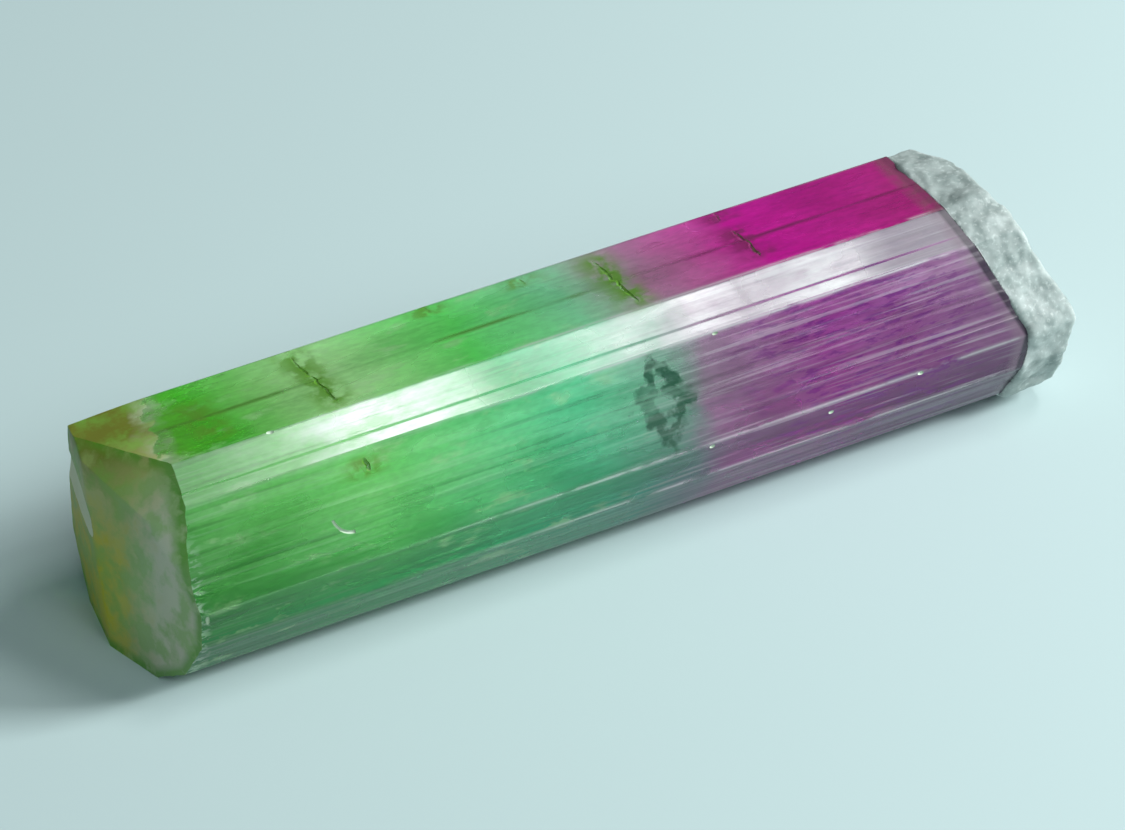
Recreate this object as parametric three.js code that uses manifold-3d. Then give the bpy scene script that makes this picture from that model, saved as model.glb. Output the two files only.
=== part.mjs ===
// A two-coloured tourmaline pencil, lying on one of its long faces.
//
// Millimetres, +Z up. +X is the crystal's long axis (its c axis), from the broken green end to the
// crusted pink end. The origin is on the resting face, under the middle of the whole piece.
//
// Two pieces come apart on a bench: the crystal, which grew as one, and the white granular crust
// that sits on its natural termination.

import * as THREE from 'three';
import { mergeVertices } from 'three/addons/utils/BufferGeometryUtils.js';
import Module from 'manifold-3d';

const wasm = await Module();
wasm.setup();

// ---- Driving dimensions ------------------------------------------------------------------------

// Corners of the cross-section as [Y, Z], one per long edge of the prism, round from the top edge
// at the back over the front and the base. The faces between them meet at about 30 and 60 degrees,
// as the two interleaved prisms of tourmaline do.
const CORNERS = [
	[ 2.95, 8.62 ], // top, back
	[ - 1.40, 8.62 ], // top, front
	[ - 3.02, 7.68 ], // below the narrow bevel face
	[ - 5.04, 4.16 ], // below the broad front face
	[ - 5.04, 2.76 ],
	[ - 4.00, 0.98 ],
	[ - 2.40, 0.00 ], // base, front
	[ 3.21, 0.00 ], // base, back
	[ 5.06, 3.17 ],
	[ 5.06, 5.07 ]
];
const BASE_FACE = 6; // the face that starts at the base's front corner, the only one left plain

const AXIS = { y: 0, z: 4.3 }; // where the long axis runs in the section
const BODY_FROM = - 22; // stock of the prism before its ends are cut
const BODY_TO = 22;

const STRIA_PITCH = 0.62; // long growth ridges
const STRIA_DEPTH = 0.055;
const FACE_BULGE = 0.05; // how far a face's middle stands proud of its two edges

// Facets that bound an end. "at" is where a facet's plane crosses the long axis, "tilt" the angle
// between its normal and that axis, and "around" the side it leans to (0 is +Y, 90 is up).
const BREAK_FACETS = [
	{ at: - 20.59, tilt: 13.8, around: - 17.5 }, // the half towards the back
	{ at: - 20.12, tilt: 15.6, around: 180 }, // the half towards the front
	{ at: - 23.39, tilt: 48.5, around: 113.3 } // the shoulder under the top edge
];
const TERMINATION_FACETS = [
	{ at: 17.98, tilt: 25, around: 95 }, // the large pyramid face, leaning upwards
	{ at: 19.08, tilt: 25, around: 335 },
	{ at: 19.78, tilt: 25, around: 215 },
	{ at: 18.13, tilt: 0, around: 0 } // what is left of the flat tip
];

const CRUST_GAP = 0.3; // clearance to the crystal, measured along the long axis
const CRUST_THICKNESS = 2.1;
const CRUST_OVERHANG = 0.1; // how far it stands out beyond the prism's sides
const CRUST_FOOT = 0.12; // it stays this far above the resting face
const RIM_FACETS = [
	{ at: 22.8, tilt: 47, around: 60 },
	{ at: 23.4, tilt: 46, around: 112 },
	{ at: 25.7, tilt: 48, around: 178 },
	{ at: 24.5, tilt: 45, around: 232 },
	{ at: 24.1, tilt: 50, around: 292 },
	{ at: 23.8, tilt: 50, around: 0 }
];

const GRAINS = 46; // coarse grains standing out of the crust
const GRAIN_RADIUS = 0.62;
const GRAIN_SPREAD = 4.4; // radius of the round area that they cover
const GOLDEN_ANGLE = Math.PI * ( 3 - Math.sqrt( 5 ) );

// ---- Solids and cuts ---------------------------------------------------------------------------

function solidOf( geometry ) {

	geometry.deleteAttribute( 'normal' );
	geometry.deleteAttribute( 'uv' );
	const merged = mergeVertices( geometry, 1e-4 );
	return new wasm.Manifold( new wasm.Mesh( {
		numProp: 3,
		vertProperties: new Float32Array( merged.attributes.position.array ),
		triVerts: new Uint32Array( merged.index.array )
	} ) );

}

function geometryOf( solid ) {

	const mesh = solid.getMesh();
	const geometry = new THREE.BufferGeometry();
	geometry.setAttribute( 'position', new THREE.BufferAttribute( new Float32Array( mesh.vertProperties ), 3 ) );
	geometry.setIndex( new THREE.BufferAttribute( new Uint32Array( mesh.triVerts ), 1 ) );
	geometry.computeVertexNormals();
	return geometry;

}

// All that lies beyond a facet, on the side that its normal points to.
function beyond( facet, end, shift = 0 ) {

	const reach = 60;
	const tilt = THREE.MathUtils.degToRad( facet.tilt );
	const around = THREE.MathUtils.degToRad( facet.around );
	const normal = new THREE.Vector3(
		end * Math.cos( tilt ),
		Math.sin( tilt ) * Math.cos( around ),
		Math.sin( tilt ) * Math.sin( around )
	);
	const block = new THREE.BoxGeometry( reach, reach, reach );
	block.translate( reach / 2, 0, 0 );
	block.applyQuaternion( new THREE.Quaternion().setFromUnitVectors( new THREE.Vector3( 1, 0, 0 ), normal ) );
	block.translate( facet.at + shift, AXIS.y, AXIS.z );
	return solidOf( block );

}

function cutBy( solid, facets, end, shift = 0 ) {

	return facets.reduce( ( rest, facet ) => rest.subtract( beyond( facet, end, shift ) ), solid );

}

// ---- Cross-section -----------------------------------------------------------------------------

// Each face runs from one corner to the next, a little bulged, with ridges and furrows by turns.
function sectionPoints( overhang = 0 ) {

	const points = [];
	CORNERS.forEach( ( corner, face ) => {

		const from = new THREE.Vector2( ...corner );
		const to = new THREE.Vector2( ...CORNERS[ ( face + 1 ) % CORNERS.length ] );
		const along = to.clone().sub( from );
		const outward = new THREE.Vector2( along.y, - along.x ).normalize().negate();
		const steps = face === BASE_FACE ? 1 : 2 * Math.round( along.length() / STRIA_PITCH );
		for ( let step = 0; step < steps; step ++ ) {

			const part = step / steps;
			const furrow = step % 2 ? STRIA_DEPTH : 0;
			const proud = FACE_BULGE * Math.sin( Math.PI * part ) - furrow;
			const point = from.clone().addScaledVector( along, part ).addScaledVector( outward, proud );
			points.push( point );

		}

	} );

	const middle = new THREE.Vector2( AXIS.y, AXIS.z );
	return points.map( ( point ) => {

		const away = point.clone().sub( middle );
		return middle.clone().add( away.setLength( away.length() + overhang ) );

	} );

}

function prism( points, from, to ) {

	const geometry = new THREE.ExtrudeGeometry( new THREE.Shape( points ), {
		depth: to - from,
		bevelEnabled: false
	} );
	geometry.translate( 0, 0, from );
	geometry.applyMatrix4( new THREE.Matrix4().makeBasis(
		new THREE.Vector3( 0, 1, 0 ),
		new THREE.Vector3( 0, 0, 1 ),
		new THREE.Vector3( 1, 0, 0 )
	) );
	return solidOf( geometry );

}

// ---- Crystal -----------------------------------------------------------------------------------

function makeCrystal() {

	const stock = prism( sectionPoints(), BODY_FROM, BODY_TO );
	const broken = cutBy( stock, BREAK_FACETS, - 1 );
	return cutBy( broken, TERMINATION_FACETS, 1 );

}

// ---- Crust -------------------------------------------------------------------------------------

// Where the crust's outer side lies over a point of the section.
function crustSurface( y, z ) {

	return Math.min( ...TERMINATION_FACETS.map( ( facet ) => {

		const slope = Math.tan( THREE.MathUtils.degToRad( facet.tilt ) );
		const around = THREE.MathUtils.degToRad( facet.around );
		const out = ( y - AXIS.y ) * Math.cos( around ) + ( z - AXIS.z ) * Math.sin( around );
		return facet.at + CRUST_THICKNESS - slope * out;

	} ) );

}

function grain( index ) {

	const radius = GRAIN_SPREAD * Math.sqrt( ( index + 0.5 ) / GRAINS );
	const turn = index * GOLDEN_ANGLE;
	const y = AXIS.y + radius * Math.cos( turn );
	const z = AXIS.z + radius * Math.sin( turn );
	const size = GRAIN_RADIUS * ( 1 + 0.3 * Math.sin( index * 2.1 ) );
	const ball = new THREE.IcosahedronGeometry( size, 1 );
	ball.rotateX( index );
	ball.scale( 0.8, 1, 1 );
	ball.translate( crustSurface( y, z ) - 0.45 * size, y, z );
	return solidOf( ball );

}

function makeCrust() {

	const envelope = prism( sectionPoints( CRUST_OVERHANG ), BODY_TO / 2, BODY_TO );
	const slab = cutBy( envelope, TERMINATION_FACETS, 1, CRUST_THICKNESS );
	let whole = cutBy( slab, RIM_FACETS, 1 );
	for ( let index = 0; index < GRAINS; index ++ ) {

		whole = whole.add( grain( index ) );

	}

	const inside = cutBy( prism( sectionPoints( 2 ), 0, BODY_TO ), TERMINATION_FACETS, 1, CRUST_GAP );
	const floor = new THREE.BoxGeometry( 60, 60, 60 );
	floor.translate( 0, 0, CRUST_FOOT - 30 );
	return whole.intersect( envelope ).subtract( inside ).subtract( solidOf( floor ) );

}

// ---- Scene graph -------------------------------------------------------------------------------

const tourmaline = new THREE.MeshStandardMaterial( { color: 0x6f9a6a, roughness: 0.12, metalness: 0 } );
const whiteCrust = new THREE.MeshStandardMaterial( { color: 0xc9d2cd, roughness: 0.75, metalness: 0 } );

const crystal = new THREE.Mesh( geometryOf( makeCrystal() ), tourmaline );
crystal.name = 'crystal';

const crust = new THREE.Mesh( geometryOf( makeCrust() ), whiteCrust );
crust.name = 'end_crust';

const specimen = new THREE.Group();
specimen.name = 'tourmaline_pencil';
specimen.add( crystal, crust );

// The origin goes under the middle of the box of the whole piece.
const box = new THREE.Box3().setFromObject( specimen );
const middle = box.getCenter( new THREE.Vector3() );
specimen.position.set( - middle.x, - middle.y, - box.min.z );

export default specimen;
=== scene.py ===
"""A two-coloured tourmaline pencil with a granular crust on its tip, on a plain pale floor.

The crystal is cut from a ridged prism by an end block, then etched, chipped and cracked. What is
sealed in it is made last. Everything is in metres, +X along the crystal's length.
"""

import math
import random
from functools import partial

import bmesh
import bpy
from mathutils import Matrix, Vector


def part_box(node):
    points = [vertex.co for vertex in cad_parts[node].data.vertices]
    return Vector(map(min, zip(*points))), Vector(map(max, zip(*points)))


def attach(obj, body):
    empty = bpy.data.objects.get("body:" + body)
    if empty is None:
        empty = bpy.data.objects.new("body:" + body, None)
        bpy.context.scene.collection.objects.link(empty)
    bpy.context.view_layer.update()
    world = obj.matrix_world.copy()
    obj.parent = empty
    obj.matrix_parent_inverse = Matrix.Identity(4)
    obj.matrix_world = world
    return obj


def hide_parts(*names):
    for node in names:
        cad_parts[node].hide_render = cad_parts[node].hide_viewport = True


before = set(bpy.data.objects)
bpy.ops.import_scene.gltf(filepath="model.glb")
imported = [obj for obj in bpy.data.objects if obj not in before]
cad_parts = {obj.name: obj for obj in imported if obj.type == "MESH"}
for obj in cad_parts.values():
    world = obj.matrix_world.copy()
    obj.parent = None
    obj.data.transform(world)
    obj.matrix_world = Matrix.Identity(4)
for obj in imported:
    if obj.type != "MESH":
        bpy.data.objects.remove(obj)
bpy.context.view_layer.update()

MM = 0.001
random.seed(41)

CRYSTAL_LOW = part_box("crystal")[0]
LENGTH_LOW, LENGTH_HIGH = CRYSTAL_LOW.x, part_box("end_crust")[1].x
AXIS = Vector((0, 0, 4.3 * MM))

# Corners of the cross-section, (Y, Z) in mm, round from the top back edge over the front.
CORNERS = [
    (2.95, 8.62), (-1.40, 8.62), (-3.02, 7.68), (-5.04, 4.16), (-5.04, 2.76),
    (-4.00, 0.98), (-2.40, 0.00), (3.21, 0.00), (5.06, 3.17), (5.06, 5.07),
]

# Facets of the two ends: where the plane crosses the long axis in mm, its tilt off that axis in
# degrees, and the side it leans to, where 0 is +Y and 90 is up.
BREAK_FACETS = [
    (-20.59, 13.8, -17.5), (-20.15, 12, 180), (-23.39, 48.5, 113.3), (-23.2, 45.6, 137.3),
    (-24.7, 50, 8)]
TOP_SCAR = (-62.7, 84.5, 88.2)
TIP_FACETS = [(17.98, 25, 95), (19.08, 25, 335), (19.78, 25, 215), (18.13, 0, 0)]


# ---- Working by hand ---------------------------------------------------------------------------

def drop_selection():
    if bpy.context.object and bpy.context.object.mode != "OBJECT":
        bpy.ops.object.mode_set(mode="OBJECT")
    bpy.ops.object.select_all(action="DESELECT")


def start_piece(name, primitive, **settings):
    """Adds a primitive, names it and opens it for shaping."""
    drop_selection()
    primitive(**settings)
    piece = bpy.context.object
    piece.name = piece.data.name = name
    bpy.ops.object.transform_apply(location=True, rotation=True, scale=True)
    return piece


def choose(piece):
    """Makes a piece the only selected object, and the active one."""
    drop_selection()
    piece.select_set(True)
    bpy.context.view_layer.objects.active = piece


def edit(piece):
    choose(piece)
    bpy.ops.object.mode_set(mode="EDIT")


def done():
    bpy.ops.object.mode_set(mode="OBJECT")


def pick(kind, test):
    """Selects the vertices, edges or faces of the open mesh that pass a test on their place."""
    bpy.ops.mesh.select_mode(type=kind)
    bpy.ops.mesh.select_all(action="DESELECT")
    mesh = bmesh.from_edit_mesh(bpy.context.object.data)
    items = {"VERT": mesh.verts, "EDGE": mesh.edges, "FACE": mesh.faces}[kind]
    for item in items:
        if test(item):
            item.select_set(True)
    mesh.select_flush_mode()
    bmesh.update_edit_mesh(bpy.context.object.data)


def join_pieces(pieces, name):
    drop_selection()
    for piece in pieces:
        piece.select_set(True)
    bpy.context.view_layer.objects.active = pieces[0]
    bpy.ops.object.join()
    pieces[0].name = pieces[0].data.name = name
    return pieces[0]


def apply_modifier(piece, kind, **settings):
    choose(piece)
    modifier = piece.modifiers.new(kind.title(), kind)
    for name, value in settings.items():
        setattr(modifier, name, value)
    bpy.ops.object.modifier_apply(modifier=modifier.name)


def roughen(piece, size, strength, basis="BLENDER_ORIGINAL", stretch=(1, 1, 1), group="", depth=2,
            kind="CLOUDS", turn=(0, 0, 0), shift=(0, 0, 0)):
    """Pushes a surface in and out by noise of a real size, which may be drawn out along an axis."""
    texture = bpy.data.textures.new("relief", kind)
    texture.noise_scale = size
    if kind == "CLOUDS":
        texture.noise_depth = depth
        texture.noise_basis = basis
    if kind == "VORONOI":
        texture.distance_metric = basis
    drop_selection()
    bpy.ops.object.empty_add(location=shift, rotation=turn)
    space = bpy.context.object
    space.scale = stretch
    bpy.context.view_layer.update()
    apply_modifier(piece, "DISPLACE", texture=texture, texture_coords="OBJECT",
                   texture_coords_object=space, strength=strength, mid_level=0.5,
                   vertex_group=group)
    bpy.data.objects.remove(space)


CUT_THRESHOLD = 0.0001 * MM


def cut_all(place, outward):
    """Cuts the whole open mesh at a plane, throws away what lies outside and closes the cut."""
    bpy.ops.mesh.select_all(action="SELECT")
    bpy.ops.mesh.bisect(plane_co=place, plane_no=outward, use_fill=True, clear_outer=True,
                        threshold=CUT_THRESHOLD)


def leaning(facet, end):
    """A facet's outward normal at the given end of the crystal, -1 or +1."""
    tilt = math.radians(facet[1])
    around = math.radians(facet[2])
    return Vector((end * math.cos(tilt), math.sin(tilt) * math.cos(around),
                   math.sin(tilt) * math.sin(around)))


def cut_facet(facet, end, shift=0.0):
    """Cuts the open mesh along a facet and closes it there."""
    cut_all(AXIS + Vector(((facet[0] + shift) * MM, 0, 0)), leaning(facet, end))


# ---- Crystal -----------------------------------------------------------------------------------

def pencil_stock(name, x_from, x_to, overhang=0.0):
    """A plain ten-sided prism on the crystal's section."""
    piece = start_piece(
        name, bpy.ops.mesh.primitive_circle_add, vertices=len(CORNERS), radius=5 * MM,
        fill_type="NGON", location=(x_from, AXIS.y, AXIS.z), rotation=(0, math.pi / 2, 0))
    corners = [Vector((x_from, y * MM, z * MM)) for y, z in CORNERS]
    corners = [corner + (corner - Vector((x_from, 0, AXIS.z))).normalized() * overhang
               for corner in corners]
    edit(piece)
    mesh = bmesh.from_edit_mesh(piece.data)
    around = sorted(mesh.verts, key=lambda v: math.atan2(v.co.z - AXIS.z, v.co.y))
    targets = sorted(corners, key=lambda c: math.atan2(c.z - AXIS.z, c.y))
    places = [vertex.co.copy() for vertex in around]
    for place, target in zip(places, targets):
        pick("VERT", lambda v: (v.co - place).length < 0.01 * MM)
        bpy.ops.transform.translate(value=target - place)
    bpy.ops.mesh.select_all(action="SELECT")
    bpy.ops.mesh.extrude_region_move(
        TRANSFORM_OT_translate={"value": (x_to - x_from, 0, 0)})
    bpy.ops.mesh.select_all(action="SELECT")
    bpy.ops.mesh.normals_make_consistent(inside=False)
    done()
    return piece


def runs_along(edge):
    side = edge.verts[0].co - edge.verts[1].co
    return abs(side.x) > 0.9 * side.length


STRIA_PITCH = 0.085 * MM
STATION_PITCH = 0.55 * MM
EVERYWHERE = (-1, 1)
SMOOTH_FACES = (0, 1)
RESTING_FACE = 6


def face_frame(face):
    """Where a prism face starts, its outward and crosswise directions, and its width."""
    start = Vector((0, *CORNERS[face])) * MM
    end = Vector((0, *CORNERS[(face + 1) % len(CORNERS)])) * MM
    across = (end - start).normalized()
    out = Vector((0, -across.z, across.y))
    if out.dot(start - AXIS) < 0:
        out = -out
    return start, out, across, (end - start).length


def raise_terrace(face, band, height, reach=EVERYWHERE):
    """Lifts a long band of one prism face: its two edges become growth steps."""
    start, out, across, width = face_frame(face)

    def in_band(vertex):
        place = Vector((0, vertex.co.y, vertex.co.z)) - start
        return (abs(place.dot(out)) < 0.2 * MM and reach[0] < vertex.co.x < reach[1]
                and band[0] * width < place.dot(across) < band[1] * width)

    pick("VERT", in_band)
    bpy.ops.transform.translate(value=out * height)


def striated_faces():
    return [face for face in range(len(CORNERS)) if face not in (*SMOOTH_FACES, RESTING_FACE)]


def grow_terraces(per_mm, half_from, half_to, lengths=None):
    """Builds each striated face of long low steps, as tourmaline grows, some of them short."""
    for face in striated_faces():
        for _ in range(round(per_mm * face_frame(face)[3] / MM)):
            middle = random.uniform(0.05, 0.95)
            half = random.uniform(half_from, half_to)
            height = random.choice((-1, 1, 1)) * random.uniform(0.006, 0.02) * MM
            reach = EVERYWHERE
            if lengths:
                start = random.uniform(-22, 16) * MM
                reach = (start, start + random.uniform(*lengths) * MM)
            raise_terrace(face, (max(0.02, middle - half), min(0.98, middle + half)), height, reach)


EDGE_WEAR = 0.07 * MM

# Broad growth steps: the face, how far across it they reach from 0 to 1, and their height in mm.
BROAD_STEPS = [
    (0, (0.53, 0.98), 0.02), (0, (0.90, 0.98), -0.02), (1, (0.02, 0.70), 0.025),
    (2, (0.16, 0.24), 0.02), (2, (0.39, 0.65), 0.02),
]


def rib_prism(piece):
    """Wears the long edges a little and lays a fine grid on the sides for the growth lines."""
    edit(piece)
    pick("EDGE", runs_along)
    bpy.ops.mesh.bevel(offset=EDGE_WEAR, segments=2)
    widths = {}
    mesh = bmesh.from_edit_mesh(piece.data)
    for edge in mesh.edges:
        if not runs_along(edge) and edge.calc_length() > 0.4 * MM:
            middle = (edge.verts[0].co + edge.verts[1].co) / 2
            widths[(round(middle.y, 7), round(middle.z, 7))] = edge.calc_length()
    for (y, z), width in widths.items():
        pick("EDGE", lambda e: not runs_along(e) and abs(
            (e.verts[0].co.y + e.verts[1].co.y) / 2 - y) < 1e-6 and abs(
            (e.verts[0].co.z + e.verts[1].co.z) / 2 - z) < 1e-6)
        bpy.ops.mesh.subdivide(number_cuts=round(width / STRIA_PITCH))
    grow_terraces(2.0, 0.04, 0.35)
    for face, band, height in BROAD_STEPS:
        raise_terrace(face, band, height * MM)
    pick("EDGE", runs_along)
    length = max(edge.calc_length() for edge in bmesh.from_edit_mesh(piece.data).edges)
    bpy.ops.mesh.subdivide(number_cuts=round(length / STATION_PITCH))
    grow_terraces(1.6, 0.01, 0.05, lengths=(8, 30))
    done()


def meets_crystal(place):
    """Whether a spot on the end block's facets is close enough to cut the crystal."""
    return abs(place.y) < 8 * MM and 0.5 * MM < place.z < 12 * MM


def end_block():
    """A wide block with the broken end and the natural tip on it, for cutting the prism.

    Its underside is the plane that the crystal rests on, so the resting face comes out flat.
    """
    block = start_piece("end_block", bpy.ops.mesh.primitive_cube_add, size=1,
                        location=(0, 0, 9 * MM), scale=(60 * MM, 18 * MM, 18 * MM))
    edit(block)
    for facet in BREAK_FACETS:
        cut_facet(facet, -1)
    for facet in TIP_FACETS:
        cut_facet(facet, 1)
    pick("FACE", lambda f: abs(f.normal.x) > 0.3)
    bpy.ops.mesh.quads_convert_to_tris()
    bpy.ops.mesh.subdivide(number_cuts=47)
    pick("VERT", lambda v: v.co.x < -12 * MM and meets_crystal(v.co))
    bpy.ops.mesh.vertices_smooth(factor=0.5, repeat=4)
    done()
    ends = block.vertex_groups.new(name="ends")
    inner = [v.index for v in block.data.vertices if meets_crystal(v.co)]
    ends.add(inner, 1.0, "REPLACE")
    roughen(block, 3.2 * MM, 0.06 * MM, group="ends", shift=(2 * MM, 1 * MM, 0))
    roughen(block, 0.8 * MM, 0.05 * MM, group="ends")
    edit(block)
    cut_facet(TOP_SCAR, -1)
    done()
    return block


# Chips knocked out of the long edges and the rim of the break: place and half size in mm.
CHIPS = [
    ((-18.8, -5.0, 3.9), (0.12, 0.09, 0.20)), ((-18.9, -3.6, 0.7), (0.14, 0.10, 0.12)),
    ((-14.1, -1.5, 8.6), (0.14, 0.08, 0.07)),
    ((3.1, -5.05, 4.0), (0.12, 0.08, 0.08)), ((8.5, -5.05, 3.7), (0.12, 0.06, 0.07)),
    ((12.6, -5.05, 4.1), (0.14, 0.07, 0.07)), ((4.4, -3.05, 7.6), (0.14, 0.07, 0.06)),
]
FLAKE_PLACE = (-20.25, 2.6, 5.5)
FLAKE_HALF_SIZE = (0.35, 1.0, 2.5)
FLAKE_LEAN = (-64, 0, -13)
NICK_PLACE = (-12.2, -4.05, 5.9)
NICK_RADIUS = 0.8 * MM
NICK_HALF_THICKNESS = 0.07 * MM


def chip_cutters():
    """A rough pebble for each chip, a long one for the flake and a bent one for the nick."""
    cutters = []
    for number, (place, half_size) in enumerate(CHIPS):
        pebble = start_piece(
            f"chip_{number}", bpy.ops.mesh.primitive_ico_sphere_add, subdivisions=3, radius=1,
            location=[p * MM for p in place], scale=[h * MM for h in half_size])
        roughen(pebble, 0.2 * MM, 0.7 * min(half_size) * MM, depth=0)
        cutters.append(pebble)
    flake = start_piece(
        "flake", bpy.ops.mesh.primitive_ico_sphere_add, subdivisions=4, radius=1,
        location=[p * MM for p in FLAKE_PLACE], scale=[h * MM for h in FLAKE_HALF_SIZE],
        rotation=[math.radians(angle) for angle in FLAKE_LEAN])
    roughen(flake, 0.5 * MM, 0.08 * MM)
    cutters.append(flake)
    nick = start_piece(
        "nick", bpy.ops.mesh.primitive_torus_add, major_segments=32, minor_segments=8,
        major_radius=NICK_RADIUS, minor_radius=NICK_HALF_THICKNESS)
    edit(nick)
    cut_all((0, 0, 0), (-0.17, 0.98, 0))
    cut_all((0, 0, 0), (1, 0, 0))
    done()
    nick.rotation_euler = (math.radians(60), 0, 0)
    nick.location = [p * MM for p in NICK_PLACE]
    cutters.append(nick)
    drop_selection()
    for cutter in cutters:
        cutter.select_set(True)
    bpy.ops.object.transform_apply(location=True, rotation=True, scale=True)
    return join_pieces(cutters, "chip_cutters")


SEAM_WIDTH = 0.95 * MM
RIM_WIDTH = 0.8 * MM
EDGE_WEAR_GLINT_WIDTH = 0.09 * MM


def depth_under(face, place):
    """How deep a place lies under one of the prism's ten faces."""
    start, out = face_frame(face)[:2]
    return (start - Vector((0, place.y, place.z))).dot(out)


# Shallow cracks across the crystal, stained along their sides: middle in mm, half size across and
# down in mm, lean in degrees.
FISSURES = [
    ((-11.0, 0.8, 8.7), (1.9, 0.09), 3), ((-11.1, -3.5, 7.4), (0.3, 0.45), -8),
    ((2.2, 0.7, 8.7), (1.8, 0.09), -6), ((8.0, 2.6, 8.7), (0.4, 0.09), 12),
    ((8.0, 0.4, 8.7), (1.1, 0.09), -10), ((-5.0, 2.7, 8.7), (0.4, 0.09), 12),
    ((-0.9, 2.5, 8.7), (0.3, 0.09), -8),
]
STAIN_PATCH = ((-15.9, 0.4, 8.6), (1.2, 0.5), 0)
CRACK_WIDTH = 0.16 * MM


def fissure_cutters():
    """Thin crumpled discs that stand across the crystal's skin."""
    cutters = []
    for number, (place, half_size, lean) in enumerate(FISSURES):
        disc = start_piece(
            f"fissure_{number}", bpy.ops.mesh.primitive_circle_add, vertices=24,
            radius=1 * MM, fill_type="TRIFAN", location=[p * MM for p in place],
            rotation=(0, math.radians(90 + lean), 0))
        edit(disc)
        bpy.ops.mesh.select_all(action="SELECT")
        bpy.ops.transform.resize(value=(half_size[1], half_size[0], half_size[1]),
                                 center_override=[p * MM for p in place])
        bpy.ops.mesh.subdivide(number_cuts=2)
        done()
        roughen(disc, 0.3 * MM, 0.40 * MM)
        apply_modifier(disc, "SOLIDIFY", thickness=CRACK_WIDTH, offset=0.0)
        apply_modifier(disc, "REMESH", mode="VOXEL", voxel_size=CRACK_WIDTH / 4)
        cutters.append(disc)
    return join_pieces(cutters, "fissure_cutters")


SMUDGE_REACH = 1.1 * MM


def smudged_by(fissure, place):
    """How much a fissure stains the spot: fully at the crack, fading along the crystal."""
    (x, y, z), (half_y, half_z), lean = fissure
    off = place - Vector((x, y, z)) * MM
    inside = math.hypot(off.y / (half_y * MM * 1.15), off.z / (max(half_z, 0.5) * MM * 1.3))
    along = abs(off.x + off.z * math.tan(math.radians(lean))) / SMUDGE_REACH
    return max(0.0, min(1.0, 1.5 * (1 - along))) * max(0.0, min(1.0, 2.5 * (1.2 - inside)))


def note_surface(piece):
    """Notes on the mesh what each spot is, for the material: its outward side, chips, the seam."""
    made = piece.data.attributes
    made.new("facing", "FLOAT_VECTOR", "FACE")
    for name in ("chipped", "stained"):
        made.new(name, "FLOAT", "FACE")
    for name in ("seam", "rim", "smudge", "edge_wear_glint"):
        made.new(name, "FLOAT", "POINT")
    for face in piece.data.polygons:
        made["facing"].data[face.index].vector = face.normal
        made["chipped"].data[face.index].value = float(face.material_index == 1)
        made["stained"].data[face.index].value = float(face.material_index == 2)
        face.material_index = 0
    for vertex in piece.data.vertices:
        gaps = [-(vertex.co - AXIS - Vector((facet[0] * MM, 0, 0))).dot(leaning(facet, 1))
                for facet in TIP_FACETS]
        made["seam"].data[vertex.index].value = 1 - min(gaps) / SEAM_WIDTH
        inset = min(depth_under(face, vertex.co) for face in range(len(CORNERS)))
        made["rim"].data[vertex.index].value = max(0.0, 1 - inset / RIM_WIDTH)
        made["smudge"].data[vertex.index].value = max(
            smudged_by(mark, vertex.co) for mark in (*FISSURES, STAIN_PATCH))
        to_edge = min(math.hypot(vertex.co.y - y * MM, vertex.co.z - z * MM) for y, z in CORNERS)
        made["edge_wear_glint"].data[vertex.index].value = max(0.0, 1 - to_edge / EDGE_WEAR_GLINT_WIDTH)


def make_crystal():
    crystal = pencil_stock("tourmaline_crystal", -24 * MM, 21 * MM)
    rib_prism(crystal)
    roughen(crystal, 1.3 * MM, 0.028 * MM, stretch=(60, 1, 1))
    roughen(crystal, 0.35 * MM, 0.008 * MM, stretch=(60, 1, 1), turn=(0.3, 0, 0))
    block = end_block()
    apply_modifier(crystal, "BOOLEAN", operation="INTERSECT", object=block, solver="EXACT")
    bpy.data.objects.remove(block)
    crystal.data.materials.append(bpy.data.materials.new("whole"))
    for cutters, state in ((chip_cutters(), "chipped"), (fissure_cutters(), "stained")):
        cutters.data.materials.append(bpy.data.materials.new(state))
        apply_modifier(crystal, "BOOLEAN", operation="DIFFERENCE", object=cutters,
                       solver="EXACT", material_mode="TRANSFER")
        bpy.data.objects.remove(cutters)
    choose(crystal)
    bpy.ops.object.shade_smooth_by_angle(angle=math.radians(30))
    note_surface(crystal)
    return crystal


# ---- Crust -------------------------------------------------------------------------------------

CRUST_THICKNESS = 2.1
RIM_FACETS = [(22.8, 47, 60), (23.4, 46, 112), (25.7, 48, 178), (24.5, 45, 232), (24.1, 50, 292),
              (23.8, 50, 0)]


def make_crust():
    """The granular cap: a slab on the tip's facets, rounded at its rim and grown over with grains."""
    crust = pencil_stock("granular_crust", 8 * MM, 26 * MM, overhang=0.02 * MM)
    edit(crust)
    for facet in TIP_FACETS:
        cut_facet(facet, 1, CRUST_THICKNESS)
    for facet in RIM_FACETS:
        cut_facet(facet, 1)
    done()
    inside = pencil_stock("crust_bed", 0, 26 * MM, overhang=3 * MM)
    edit(inside)
    for facet in TIP_FACETS:
        cut_facet(facet, 1, -0.05)
    done()
    apply_modifier(crust, "BOOLEAN", operation="DIFFERENCE", object=inside, solver="EXACT")
    bpy.data.objects.remove(inside)
    apply_modifier(crust, "REMESH", mode="VOXEL", voxel_size=0.08 * MM)
    roughen(crust, 2.1 * MM, 0.6 * MM, shift=(0, 3 * MM, 0))
    roughen(crust, 0.5 * MM, 0.07 * MM, depth=1)
    roughen(crust, 0.45 * MM, 0.05 * MM, kind="VORONOI", basis="DISTANCE")
    edit(crust)
    pick("VERT", lambda v: v.co.z < 0)
    bpy.ops.transform.resize(value=(1, 1, 0), center_override=(0, 0, 0))
    done()
    choose(crust)
    bpy.ops.object.shade_smooth()
    return crust


# ---- Sealed in the crystal ---------------------------------------------------------------------

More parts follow.
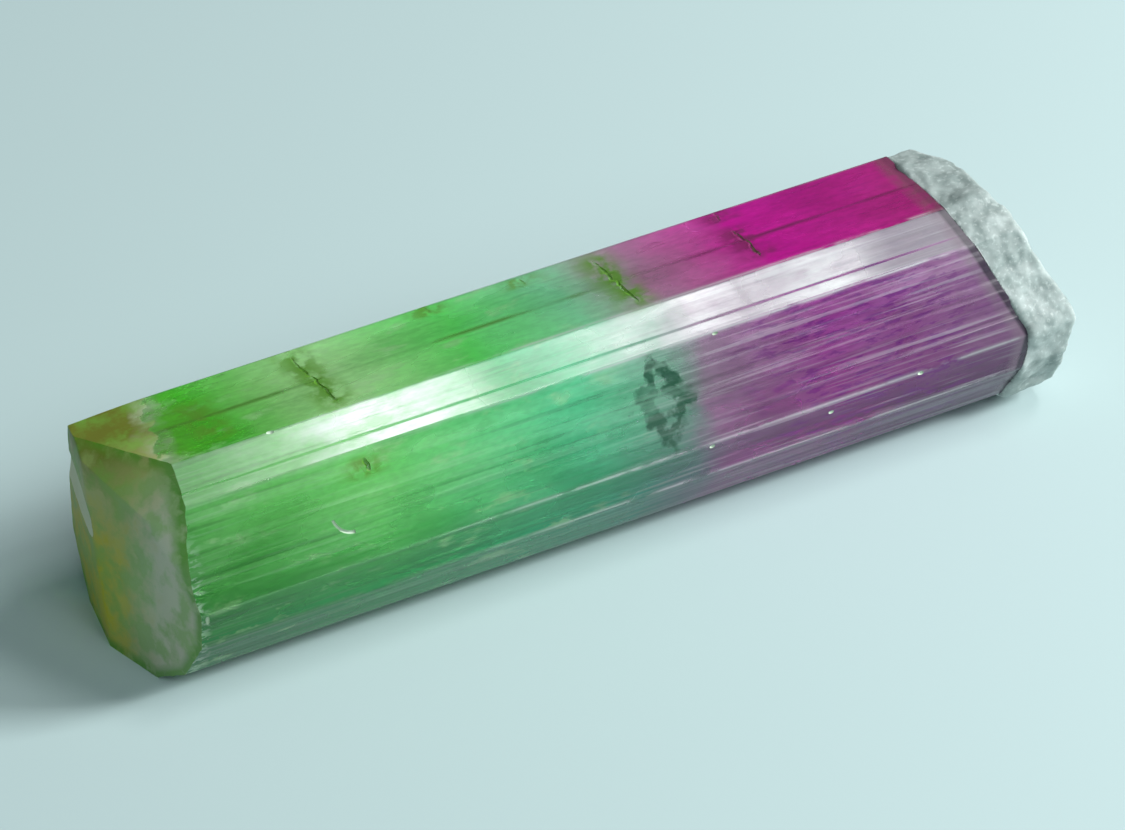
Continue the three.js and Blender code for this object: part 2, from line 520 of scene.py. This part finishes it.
TUBE_COUNT = 60
TUBE_ZONE = (4.0, 15.0, 11.0)  # from, to and where they are densest along the crystal, in mm
FRONT_FACE = 2


def make_tubes():
    """Fine growth tubes behind the front face's pink zone: one tapered needle, copied."""
    needle = start_piece("growth_tubes", bpy.ops.mesh.primitive_cylinder_add, vertices=6,
                         radius=0.5, depth=1, rotation=(0, math.pi / 2, 0))
    edit(needle)
    pick("FACE", lambda f: abs(f.normal.x) > 0.9)
    bpy.ops.mesh.inset(thickness=0.3)
    bpy.ops.transform.resize(value=(1.25, 1, 1))
    done()
    start, out, across, width = face_frame(FRONT_FACE)
    needles = []
    for _ in range(TUBE_COUNT):
        choose(needle)
        bpy.ops.object.duplicate()
        copy = bpy.context.object
        down = random.uniform(0.12, 0.9) * width
        depth = random.uniform(0.35, 1.3) * MM
        thickness = random.uniform(0.05, 0.10)
        copy.scale = [v * MM for v in (random.uniform(0.5, 2.4), thickness, thickness)]
        place = start + across * down - out * depth
        copy.location = (random.triangular(*TUBE_ZONE) * MM, place.y, place.z)
        bpy.ops.object.transform_apply(location=True, rotation=True, scale=True)
        needles.append(copy)
    bpy.data.objects.remove(needle)
    return join_pieces(needles, "growth_tubes")


# ---- Materials ---------------------------------------------------------------------------------

def colour(hex_code):
    """An sRGB hex colour as linear red, green, blue and alpha."""
    parts = [int(hex_code[i:i + 2], 16) / 255 for i in (1, 3, 5)]
    linear = [p / 12.92 if p <= 0.04045 else ((p + 0.055) / 1.055) ** 2.4 for p in parts]
    return (*linear, 1.0)


def add_node(tree, kind, inputs=None, stops=(), **settings):
    """Adds a node with its settings, and sets or links its inputs by name or number.

    An input is a number, a vector, a hex colour, a socket, or a node for that node's first output.
    """
    made = tree.nodes.new("ShaderNode" + kind)
    for name, value in settings.items():
        setattr(made, name, value)
    for number, (place, hex_code) in enumerate(stops):
        elements = made.color_ramp.elements
        element = elements[number] if number < 2 else elements.new(place)
        element.position = place
        element.color = colour(hex_code)
    for name, value in (inputs or {}).items():
        if isinstance(value, bpy.types.Node):
            value = next(output for output in value.outputs if output.enabled)
        if isinstance(value, bpy.types.NodeSocket):
            tree.links.new(value, made.inputs[name])
        else:
            made.inputs[name].default_value = colour(value) if isinstance(value, str) else value
    return made


def start_material(name):
    material = bpy.data.materials.new(name)
    material.use_nodes = True
    material.node_tree.nodes.clear()
    return material, partial(add_node, material.node_tree)


# The healed crack on the front face: its middle and half size along X and Z, in mm.
VEIL_MIDDLE = (1.5, 6.0)
VEIL_HALF_SIZE = (1.15, 1.75)

# The growth step along the top face, and how the top scar's border runs across it, in mm.
TOP_STEP_Y = 0.6
SCAR_BORDER_X = -18.1
SCAR_BORDER_SLOPE = 0.3

# The flanks are bruised beside the break: where that frosting ends at Y 0, and how it runs, in mm.
RIM_FROST_X = -17.9
RIM_FROST_SLOPE = 0.24


def body_colour(node, along, z, flank):
    """The colour zones: deep on the smooth top, and milky on the flanks, with painted shade low on
    the flanks.
    """
    deep = node("ValToRGB", {0: along}, [
        (0.00, "#80b038"), (0.12, "#54d828"), (0.24, "#c8ffac"), (0.38, "#70fc70"),
        (0.50, "#90f0b0"), (0.58, "#c88cb0"), (0.70, "#f808b8"), (0.90, "#d82c94")])
    milky = node("ValToRGB", {0: along}, [
        (0.00, "#48a83c"), (0.24, "#84f478"), (0.45, "#70f4b0"), (0.555, "#88c0a4"),
        (0.59, "#b494b0"), (0.72, "#b03ca4"), (0.92, "#a070a0")])

    # Low on the flanks the view runs longest through the crystal, so they are deeper in colour:
    # painted shade that stands in for that longer path.
    low = node("MapRange", {0: z, 1: 6.8 * MM, 2: 3.0 * MM})
    low_shade_tint = node("Mix", {"Factor": node("MapRange", {0: along, 1: 0.5, 2: 0.6}),
                            "A": "#209890", "B": "#ac84ac"}, data_type="RGBA")
    milky = node("Mix", {"Factor": low, "A": milky, "B": low_shade_tint}, data_type="RGBA",
                 blend_type="MULTIPLY")
    skin = node("Mix", {"Factor": flank, "A": deep, "B": milky}, data_type="RGBA")
    return skin


def healed_crack(node, coord, blotches, patches, face_y):
    """A veil on the front face: a ragged ring with a paler middle."""
    centred = node("Mapping", {
        0: coord, 1: (-VEIL_MIDDLE[0] / VEIL_HALF_SIZE[0], 0, -VEIL_MIDDLE[1] / VEIL_HALF_SIZE[1]),
        3: (1 / (VEIL_HALF_SIZE[0] * MM), 0, 1 / (VEIL_HALF_SIZE[1] * MM))})
    outline = node("VectorMath", {0: centred}, operation="ABSOLUTE")
    outline = node("VectorMath", {0: outline, 1: (0.5, 0.5, 0.5)}, operation="DOT_PRODUCT")
    crumpled = node("MapRange", {0: blotches, 1: 0.3, 2: 0.7, 3: -0.18, 4: 0.18})
    outline = node("Math", {0: outline.outputs["Value"], 1: crumpled}, operation="ADD")
    veil = node("ValToRGB", {0: outline}, [
        (0.18, "#606060"), (0.27, "#ffffff"), (0.48, "#ffffff"), (0.60, "#000000")])
    veil = node("Math", {0: veil, 1: node("MapRange", {0: face_y, 1: -0.6, 2: -0.8, 4: 0.9})},
                operation="MULTIPLY")
    veil = node("Math", {0: veil, 1: node("MapRange", {0: patches, 1: 0.34, 2: 0.46, 3: 0.5})},
                operation="MULTIPLY")
    return veil


def break_colour(node, coord, y, z, face_z, rim, blotches):
    """Olive, with brown iron stain above, yellow low at the back, grey to the front and a painted
    green glow at the rim.
    """
    mottle = node("TexNoise", {"Vector": coord, "Scale": 1 / (1.1 * MM), "Detail": 4,
                               "Roughness": 0.6})
    shift = node("MapRange", {0: mottle, 1: 0.3, 2: 0.7, 3: -0.7 * MM, 4: 0.7 * MM})
    break_y = node("Math", {0: y, 1: shift}, operation="ADD")
    break_z = node("Math", {0: z, 1: shift}, operation="SUBTRACT")
    yellow = node("Math", {0: node("MapRange", {0: break_y, 1: -1.6 * MM, 2: 0.8 * MM}),
                           1: node("MapRange", {0: break_z, 1: 6.2 * MM, 2: 3.8 * MM})},
                  operation="MULTIPLY")
    brown = node("Math", {0: node("MapRange", {0: break_y, 1: -1.0 * MM, 2: 1.2 * MM}),
                          1: node("MapRange", {0: break_z, 1: 6.6 * MM, 2: 7.8 * MM})},
                 operation="MULTIPLY")
    grey = node("MapRange", {0: break_y, 1: -0.6 * MM, 2: -2.4 * MM})
    # Painted light: the break turns bright green near its rim, standing in for light refracted
    # through the edge.
    painted_rim_glow = node("Math", {0: node("MapRange", {0: rim, 1: 0.35, 2: 0.8, 4: 0.8}),
                              1: node("MapRange", {0: blotches, 1: 0.36, 2: 0.5})},
                     operation="MULTIPLY")
    painted_rim_glow = node("Math", {0: painted_rim_glow, 1: node("MapRange", {0: face_z, 1: 0.85, 2: 0.7})},
                     operation="MULTIPLY")
    blotchy = node("MapRange", {0: mottle, 1: 0.58, 2: 0.42, 4: 0.6})
    fresh = node("Mix", {"Factor": yellow, "A": "#b0b46c", "B": "#c0b404"}, data_type="RGBA")
    for cover, tint in ((brown, "#6c7014"), (grey, "#c4c4b0"), (blotchy, "#70ac38"),
                        (painted_rim_glow, "#489400")):
        fresh = node("Mix", {"Factor": cover, "A": fresh, "B": tint}, data_type="RGBA")
    return fresh


def surface_roughness(node, clouds, along, bevel, broken, chipped):
    """Natural etching dulls the faces in soft patches; the break and the chips are dull all over."""
    gloss = node("MapRange", {0: clouds, 1: 0.35, 2: 0.65, 3: 0.20, 4: 0.34})
    dull = node("ValToRGB", {0: along}, [
        (0.08, "#ffffff"), (0.16, "#e0e0e0"), (0.23, "#000000"), (0.27, "#101010"),
        (0.40, "#f0f0f0"), (0.50, "#c0c0c0"), (0.59, "#101010"), (0.66, "#d0d0d0"),
        (0.73, "#000000"), (0.82, "#ffffff")])
    dull = node("Math", {0: dull, 1: bevel}, operation="MULTIPLY")
    gloss = node("Math", {0: gloss, 1: node("MapRange", {0: dull, 4: 0.46})}, operation="MAXIMUM")
    gloss = node("Math", {0: gloss, 1: node("MapRange", {0: broken, 4: 0.5})}, operation="MAXIMUM")
    gloss = node("Math", {0: gloss, 1: node("MapRange", {0: chipped, 4: 0.6})},
                 operation="MAXIMUM")
    return gloss


BODY_ABSORPTION = 20.0  # per metre


def tourmaline_material():
    """Elbaite tourmaline, as grown: glassy, with long growth striae that scatter on the flanks.

    The smooth top shows the deep body colour, the striated flanks look milky, the broken end is
    frosted and iron-stained, and the chips and rubbed edges are white. Painted light lies on top:
    highlights on the bevel, the striae and the edges, a green glow at the break's rim, brighter
    chips on the break, and shade low on the flanks, in the striae's grooves and at the crust's seam.
    """
    material, node = start_material("elbaite_tourmaline_as_grown")
    coord = node("TexCoord").outputs["Object"]
    x, y, z = node("SeparateXYZ", {0: coord}).outputs
    outward = node("Attribute", attribute_name="facing").outputs["Vector"]
    face_x, face_y, face_z = node("SeparateXYZ", {0: outward}).outputs
    chipped, stained, seam, rim, smudge, edge_wear_glint = [
        node("Attribute", attribute_name=name).outputs["Fac"]
        for name in ("chipped", "stained", "seam", "rim", "smudge", "edge_wear_glint")]

    # Patterns, by their real size: blotches in mm, and striae drawn out along the crystal.
    blotches = node("TexNoise", {"Vector": coord, "Scale": 1 / (0.55 * MM), "Detail": 3})
    drawn_little = node("Mapping", {0: coord, 3: (1 / 2.5, 1, 1)})
    patches = node("TexNoise", {"Vector": drawn_little, "Scale": 1 / (0.85 * MM), "Detail": 4,
                                "Roughness": 0.6})
    clouds = node("TexNoise", {"Vector": drawn_little, "Scale": 1 / (1.8 * MM), "Detail": 3})
    drawn_short = node("Mapping", {0: coord, 3: (1 / 5, 1, 1)})
    dashes = node("TexNoise", {"Vector": drawn_short, "Scale": 1 / (0.19 * MM), "Detail": 4,
                               "Roughness": 0.65})
    drawn_long = node("Mapping", {0: coord, 3: (1 / 55, 1, 1)})
    striae = node("TexNoise", {"Vector": drawn_long, "Scale": 1 / (0.20 * MM), "Detail": 2})
    fine_striae = node("TexNoise", {"Vector": drawn_long, "Scale": 1 / (0.09 * MM), "Detail": 1})
    frost = node("TexNoise", {"Vector": drawn_little, "Scale": 1 / (0.15 * MM), "Detail": 2})

    # Kinds of surface: the smooth top, the bright bevel beside it, the flanks, the resting face
    # and the break, which runs a little way over the top as a shallow scar.
    flank = node("MapRange", {0: face_z, 1: 0.95, 2: 0.9})
    top = node("MapRange", {0: face_z, 1: 0.94, 2: 0.97})
    bevel = node("MapRange", {0: face_z, 1: 0.78, 2: 0.84})
    bevel = node("Math", {0: bevel, 1: node("MapRange", {0: face_z, 1: 0.94, 2: 0.90})},
                 operation="MULTIPLY")
    resting = node("MapRange", {0: face_z, 1: -0.9, 2: -0.97})
    border = node("Math", {0: y, 1: -SCAR_BORDER_SLOPE, 2: x}, operation="MULTIPLY_ADD")
    ragged = node("MapRange", {0: blotches, 1: 0.3, 2: 0.7, 3: -0.35 * MM, 4: 0.35 * MM})
    border = node("Math", {0: border, 1: ragged}, operation="ADD")
    scar = node("MapRange", {0: border, 1: (SCAR_BORDER_X + 0.1) * MM,
                             2: (SCAR_BORDER_X - 0.1) * MM})
    scar = node("Math", {0: scar, 1: node("MapRange", {0: face_z, 1: 0.85, 2: 0.95})},
                operation="MULTIPLY")
    broken = node("MapRange", {0: face_x, 1: -0.35, 2: -0.6})
    broken = node("Math", {0: broken, 1: scar}, operation="MAXIMUM")
    whole = node("MapRange", {0: broken, 1: 1.0, 2: 0.0})

    # Colour zones lie across the long axis, with wavy borders.
    waver = node("TexNoise", {"Vector": coord, "Scale": 1 / (2.4 * MM), "Detail": 3,
                              "Roughness": 0.6})
    waver = node("MapRange", {0: waver, 3: -1.2 * MM, 4: 1.2 * MM})
    along = node("MapRange", {0: node("Math", {0: x, 1: waver}, operation="ADD"),
                              1: LENGTH_LOW, 2: LENGTH_HIGH})
    skin = body_colour(node, along, z, flank)

    # Healed cracks and growth tubes.
    veil = healed_crack(node, coord, blotches, patches, face_y)
    pink = node("Math", {0: node("MapRange", {0: along, 1: 0.60, 2: 0.68}),
                         1: node("MapRange", {0: along, 1: 0.92, 2: 0.84})}, operation="MULTIPLY")
    tubes = node("Math", {0: node("MapRange", {0: dashes, 1: 0.53, 2: 0.56}), 1: pink},
                 operation="MULTIPLY")
    tubes = node("Math", {0: tubes, 1: node("MapRange", {0: flank, 3: 0.1, 4: 0.75})},
                 operation="MULTIPLY")

    # Stains beside the cracks, and a darker line along the growth step on the top.
    grime = node("MapRange", {0: blotches, 1: 0.38, 2: 0.54, 3: 0.25, 4: 0.95})
    halo = node("Math", {0: smudge, 1: grime}, operation="MULTIPLY")
    halo = node("Math", {0: halo, 1: whole}, operation="MULTIPLY")
    wavy_y = node("Math", {0: waver, 1: 0.06, 2: y}, operation="MULTIPLY_ADD")
    step = node("Math", {0: wavy_y, 1: TOP_STEP_Y * MM}, operation="SUBTRACT")
    step = node("Math", {0: step}, operation="ABSOLUTE")
    step = node("MapRange", {0: step, 1: 0.20 * MM, 2: 0.03 * MM, 4: 0.8})
    step = node("Math", {0: step, 1: node("MapRange", {0: clouds, 1: 0.40, 2: 0.55, 3: 0.1})},
                operation="MULTIPLY")
    step = node("Math", {0: step, 1: top}, operation="MULTIPLY")
    stain = node("Mix", {"Factor": node("MapRange", {0: x, 1: 2.5 * MM, 2: 4.5 * MM}),
                         "A": "#5c9424", "B": "#84205c"}, data_type="RGBA")

    # White striae with painted glints, painted shade in the striae's grooves, rubbed edges with a
    # painted highlight, and the frosting on the bevel with a painted highlight in stretches along it.
    # Painted highlight: white lines along the striae on the flanks, partly frosted striae and partly
    # painted glints.
    bright = node("MapRange", {0: striae, 1: 0.60, 2: 0.67})
    thin = node("MapRange", {0: fine_striae, 1: 0.58, 2: 0.66, 4: 0.6})
    bright = node("Math", {0: bright, 1: thin}, operation="MAXIMUM")
    bright = node("Math", {0: bright, 1: node("MapRange", {0: along, 1: 0.45, 2: 0.6, 3: 0.08,
                                                           4: 0.26})}, operation="MULTIPLY")
    bright = node("Math", {0: bright, 1: flank}, operation="MULTIPLY")
    # Painted shade: the low lines of the striae, the grooves of the bump, are darkened on the flanks.
    furrow_shade = node("Math", {0: node("MapRange", {0: striae, 1: 0.42, 2: 0.34, 4: 0.28}),
                            1: node("MapRange", {0: flank, 3: 0.3})}, operation="MULTIPLY")
    # Painted highlight along the long edges over real wear: white where the edges catch the light.
    edges = node("Math", {0: edge_wear_glint, 1: node("MapRange", {0: patches, 1: 0.38, 2: 0.5})},
                 operation="MULTIPLY")
    edges = node("Math", {0: edges, 1: node("MapRange", {0: along, 1: 0.25, 2: 0.45, 3: 0.1,
                                                         4: 0.8})}, operation="MULTIPLY")
    # Painted highlight on the bevel: its frosting is whitened in stretches along it, where the light
    # falls brightest.
    bevel_frost_and_highlight = node("Math", {0: bevel, 1: node("MapRange", {0: patches, 1: 0.36, 2: 0.62, 3: 0.3})},
                operation="MULTIPLY")
    highlight_stretches = node("ValToRGB", {0: along}, [
        (0.08, "#404040"), (0.16, "#909090"), (0.22, "#ffffff"), (0.27, "#ffffff"),
        (0.39, "#404040"), (0.48, "#808080"), (0.60, "#d0d0d0"), (0.66, "#707070"),
        (0.74, "#e0e0e0"), (0.82, "#303030")])
    bevel_frost_and_highlight = node("Math", {0: bevel_frost_and_highlight, 1: highlight_stretches}, operation="MULTIPLY")

    # Towards the crust the crystal is cloudy and darkened with painted shade, and the seam itself is
    # a thin painted shadow line on the flanks, for the groove against the crust.
    frosted = node("Math", {0: bevel, 1: node("MapRange", {0: along, 1: 0.56, 2: 0.66, 4: 0.7})},
                   operation="MULTIPLY")
    # Painted shade: the crystal greys and darkens towards the crust, and a thin dark line marks the
    # groove at the seam.
    seam_shade_tint = node("Mix", {"Factor": flank, "A": "#a85878", "B": "#8c7488"}, data_type="RGBA")
    seam_shade = node("Math", {0: node("MapRange", {0: seam, 1: 0.1, 2: 0.5, 4: 0.8}),
                               1: node("MapRange", {0: blotches, 1: 0.35, 2: 0.5, 3: 0.4})},
                      operation="MULTIPLY")
    seam_groove_shade = node("Math", {0: node("MapRange", {0: seam, 1: 0.62, 2: 0.74, 4: 0.9}),
                              1: node("MapRange", {0: flank, 3: 0.25})}, operation="MULTIPLY")
    cloudy = node("MapRange", {0: clouds, 1: 0.54, 2: 0.36, 4: 0.24})
    pale = node("MapRange", {0: patches, 1: 0.58, 2: 0.68, 4: 0.4})
    pale = node("Math", {0: pale, 1: node("MapRange", {0: along, 1: 0.55, 2: 0.45})},
                operation="MULTIPLY")
    rime = node("MapRange", {0: frost, 1: 0.62, 2: 0.38, 4: 0.2})
    for cover, tint, kind in (
            (cloudy, "#88aa84", "MULTIPLY"), (pale, "#c4f0b0", "MIX"), (rime, "#a0a8a4", "MULTIPLY"),
            (furrow_shade, "#7c8084", "MULTIPLY"), (tubes, "#740880", "MIX"), (step, stain, "MIX"),
            (frosted, "#9c9ca0", "MIX"),
            (bright, "#e0e8e4", "MIX"), (bevel_frost_and_highlight, "#f0f6f2", "MIX"), (veil, "#145c3c", "MIX"),
            (edges, "#e0e8e4", "MIX"), (seam_shade, seam_shade_tint, "MIX"),
            (seam_groove_shade, "#34243c", "MIX")):
        skin = node("Mix", {"Factor": cover, "A": skin, "B": tint}, data_type="RGBA",
                    blend_type=kind)

    # The break, the pale border of its scar, and the bruised flanks beside it.
    fresh = break_colour(node, coord, y, z, face_z, rim, blotches)
    band = node("Math", {0: border, 1: SCAR_BORDER_X * MM}, operation="SUBTRACT")
    band = node("Math", {0: band}, operation="ABSOLUTE")
    band = node("MapRange", {0: band, 1: 0.8 * MM, 2: 0.1 * MM, 4: 0.75})
    band = node("Math", {0: band, 1: node("MapRange", {0: patches, 1: 0.38, 2: 0.60, 3: 0.2})},
                operation="MULTIPLY")
    band = node("Math", {0: band, 1: node("MapRange", {0: face_z, 1: 0.85, 2: 0.95})},
                operation="MULTIPLY")
    near_break = node("Math", {0: y, 1: -RIM_FROST_SLOPE, 2: x}, operation="MULTIPLY_ADD")
    near_break = node("MapRange", {0: near_break, 1: (RIM_FROST_X + 0.5) * MM, 2: RIM_FROST_X * MM})
    near_break = node("Math", {0: near_break, 1: node("MapRange", {0: frost, 1: 0.50, 2: 0.57})},
                      operation="MULTIPLY")
    near_break = node("Math", {0: near_break, 1: node("MapRange", {0: z, 1: 7.2 * MM, 2: 5.4 * MM,
                                                                   4: 0.7})}, operation="MULTIPLY")
    # The chips are pale; on the break's end they are painted brighter still, painted light where the
    # lamps don't reach that side.
    chip_pale_and_lit = node("Mix", {"Factor": node("MapRange", {0: x, 1: -19.4 * MM, 2: -19.6 * MM}),
                             "A": "#b8ccb4", "B": "#dce0c0"}, data_type="RGBA")
    lined = node("MapRange", {0: stained, 4: 0.5})
    for cover, tint in ((near_break, "#b4d0b8"), (broken, fresh), (halo, stain), (lined, stain),
                        (band, "#b8c8a4"), (chipped, chip_pale_and_lit), (resting, "#f4f8f4")):
        skin = node("Mix", {"Factor": cover, "A": skin, "B": tint}, data_type="RGBA")

    gloss = surface_roughness(node, clouds, along, bevel, broken, chipped)
    clear = node("MapRange", {0: flank, 3: 0.56, 4: 0.60})
    clear = node("Math", {0: clear, 1: resting}, operation="MAXIMUM")
    for cover, kept in ((broken, 0.4), (bright, 0.7), (bevel_frost_and_highlight, 0.7), (chipped, 0.2), (halo, 0.7),
                        (stained, 0.5)):
        clear = node("Math", {0: clear, 1: node("MapRange", {0: cover, 3: 1.0, 4: kept})},
                     operation="MULTIPLY")
    height = node("Mix", {"Factor": broken, "A": striae, "B": blotches}, data_type="FLOAT")
    relief = node("Bump", {"Height": height, "Distance": 0.025 * MM, "Strength": 0.6})
    shader = node("BsdfPrincipled", {
        "Base Color": skin, "Roughness": gloss, "IOR": 1.63, "Transmission Weight": clear,
        "Normal": relief})
    volume = node("VolumeAbsorption", {"Color": "#d9e2dc", "Density": BODY_ABSORPTION})
    node("OutputMaterial", {"Surface": shader, "Volume": volume})
    return material


def crust_material():
    """Albite, grown as sugary grains: grey-white and waxy, with white flecks, darker patches and
    painted shade between the grains.

    Light goes a little way in, so the thin edge is greyer than the body of a white stone is.
    """
    material, node = start_material("albite_sugary_crust")
    coord = node("TexCoord").outputs["Object"]
    grey_patches = node("TexNoise", {"Vector": coord, "Scale": 1 / (0.9 * MM), "Detail": 4,
                                "Roughness": 0.6})
    flecks = node("TexNoise", {"Vector": coord, "Scale": 1 / (0.16 * MM), "Detail": 2})
    grains = node("TexVoronoi", {"Vector": coord, "Scale": 1 / (0.28 * MM)})
    shade = node("ValToRGB", {0: grey_patches}, [(0.34, "#84928e"), (0.50, "#9ca8a4"), (0.66, "#acb8b4")])
    # Painted shade: darker in the crevices between the grains, where the bump sinks.
    shade = node("Mix", {"Factor": node("MapRange", {0: grains, 1: 0.25, 2: 0.6, 4: 0.2}),
                         "A": shade, "B": "#7c8884"}, data_type="RGBA")
    shade = node("Mix", {"Factor": node("MapRange", {0: flecks, 1: 0.56, 2: 0.70, 4: 0.35}),
                         "A": shade, "B": "#d4deda"}, data_type="RGBA")
    relief = node("Bump", {"Height": grains, "Distance": 0.02 * MM, "Strength": 0.3}, invert=True)
    shader = node("BsdfPrincipled", {
        "Base Color": shade, "Roughness": 0.6, "IOR": 1.53, "Subsurface Weight": 0.6,
        "Subsurface Radius": (1, 1, 1), "Subsurface Scale": 0.7 * MM,
        "Transmission Weight": 0.15, "Normal": relief})
    node("OutputMaterial", {"Surface": shader})
    return material


def tube_material():
    """The fluid in a sealed growth tube: dark and glossy, purple in the pink zone round it."""
    material, node = start_material("fluid_in_growth_tubes")
    coord = node("TexCoord").outputs["Object"]
    cloudy = node("TexNoise", {"Vector": coord, "Scale": 1 / (0.4 * MM)})
    fluid = node("Mix", {"Factor": node("MapRange", {0: cloudy, 1: 0.35, 2: 0.65}),
                         "A": "#4a0c46", "B": "#8a2490"}, data_type="RGBA")
    shader = node("BsdfPrincipled", {"Base Color": fluid, "Roughness": 0.35, "IOR": 1.33})
    node("OutputMaterial", {"Surface": shader})
    return material


def floor_material():
    """Matt painted board: even and dull, so only the light shades it."""
    material, node = start_material("matt_board_floor")
    shader = node("BsdfPrincipled", {"Base Color": "#b0c4c3", "Roughness": 0.85})
    node("OutputMaterial", {"Surface": shader})
    return material


# ---- Camera, light and floor -------------------------------------------------------------------

CAMERA_AZIMUTH = -31
CAMERA_ELEVATION = 34
CAMERA_DISTANCE = 270 * MM
CAMERA_LENS = 225
SENSOR_WIDTH = 36
LOOK_AT = Vector((-0.70 * MM, -0.26 * MM, 4.0 * MM))


def make_camera():
    azimuth = math.radians(CAMERA_AZIMUTH)
    elevation = math.radians(CAMERA_ELEVATION)
    away = Vector((math.sin(azimuth) * math.cos(elevation),
                   -math.cos(azimuth) * math.cos(elevation), math.sin(elevation)))
    drop_selection()
    bpy.ops.object.camera_add(location=LOOK_AT + away * CAMERA_DISTANCE,
                              rotation=(math.pi / 2 - elevation, 0, azimuth))
    camera = bpy.context.object
    camera.name = "camera"
    camera.data.sensor_width = SENSOR_WIDTH
    camera.data.lens = CAMERA_LENS
    camera.data.clip_start = 0.01
    bpy.context.scene.camera = camera


LIGHTS_AIM = Vector((0, 0, 4 * MM))


def soft_light(name, place, size, power, tint):
    """An area light aimed at the crystal: its place and size in metres, its power in watts."""
    drop_selection()
    bpy.ops.object.light_add(type="AREA", location=place)
    light = bpy.context.object
    light.name = name
    light.rotation_euler = (LIGHTS_AIM - Vector(place)).to_track_quat("-Z", "Y").to_euler()
    light.data.shape = "RECTANGLE"
    light.data.size, light.data.size_y = size
    light.data.energy = power
    light.data.color = colour(tint)[:3]


FLOOR_GAP = 0.02 * MM


def make_floor_and_light():
    floor = start_piece("floor", bpy.ops.mesh.primitive_plane_add, size=4,
                        location=(0, 0, -FLOOR_GAP))
    floor.data.materials.append(floor_material())
    world = bpy.data.worlds.new("soft_room")
    bpy.context.scene.world = world
    world.use_nodes = True
    tree = world.node_tree
    tree.nodes.clear()
    room = add_node(tree, "Background", {"Color": "#cfe6ee", "Strength": 0.13})
    add_node(tree, "OutputWorld", {"Surface": room})
    soft_light("overhead_strip", place=(0.215, -0.065, 0.45), size=(0.20, 0.07), power=0.64,
               tint="#ffffff")
    soft_light("right_key", place=(0.20, -0.10, 0.13), size=(0.08, 0.08), power=1.0,
               tint="#fbfdff")
    soft_light("front_panel", place=(-0.06, -0.40, 0.36), size=(0.40, 0.26), power=1.25,
               tint="#eef9fd")


def dress(piece, material):
    """Gives a piece its one material."""
    piece.data.materials.clear()
    piece.data.materials.append(material)


make_camera()
make_floor_and_light()

crystal = make_crystal()
dress(crystal, tourmaline_material())
crust = make_crust()
dress(crust, crust_material())
tubes = make_tubes()
dress(tubes, tube_material())

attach(crystal, "root")
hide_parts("crystal")
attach(tubes, "root")
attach(crust, "root")
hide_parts("end_crust")

scene = bpy.context.scene
scene.view_settings.view_transform = "Standard"
